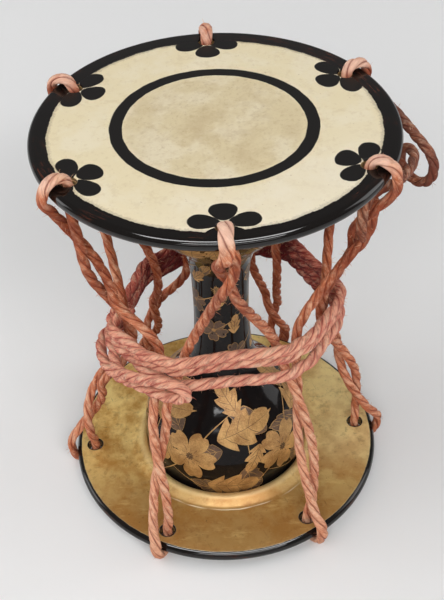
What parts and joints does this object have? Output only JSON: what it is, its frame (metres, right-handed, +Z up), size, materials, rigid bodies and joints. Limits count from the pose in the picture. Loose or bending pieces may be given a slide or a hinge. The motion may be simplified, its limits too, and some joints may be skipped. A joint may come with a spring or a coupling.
{
  "type": "hand drum",
  "caption": "Small hourglass hand drum: a hollow lacquered wooden body held between hide heads by a zigzag lacing rope, drawn in at the waist by a girdle rope.",
  "frame": {"origin": "on the floor, on the drum's axis, between the rope bights under the lower head that it stands on", "axes": "+Z up along the drum's axis towards the upper head, -Y towards the front, +X to the right as seen from the front"},
  "size_m": [0.2278, 0.2124, 0.2665],
  "materials": {
    "hide": "smooth parchment-like hide, gold leaf on the inner side, black lacquered rim, petals and ring",
    "ring_iron": "bare forged rod",
    "straw": "tightly packed dry straw",
    "thread": "waxed hemp thread",
    "lacquered_wood": "glossy black lacquer with sprinkled gold flowers and leaves",
    "lacing_hemp": "three-strand hemp rope, dyed orange and faded",
    "girdle_hemp": "three-strand hemp rope, dyed red and faded to pink"
  },
  "bodies": {
    "laced_heads": {"top_hide": "hide", "top_iron_ring": "ring_iron", "top_straw_packing": "straw", "top_seam_thread": "thread", "bottom_hide": "hide", "bottom_iron_ring": "ring_iron", "bottom_straw_packing": "straw", "bottom_seam_thread": "thread", "lacing_cord": "lacing_hemp", "girdle_cord": "girdle_hemp", "tail_cord": "lacing_hemp"},
    "wooden_body": {"drum_body": "lacquered_wood"}
  },
  "joints": [
    {"name": "body_turn", "type": "hinge", "parent": "laced_heads", "child": "wooden_body", "pos_m": [0, 0, 0.1327], "axis": [0, 0, 1], "continuous": true}
  ]
}
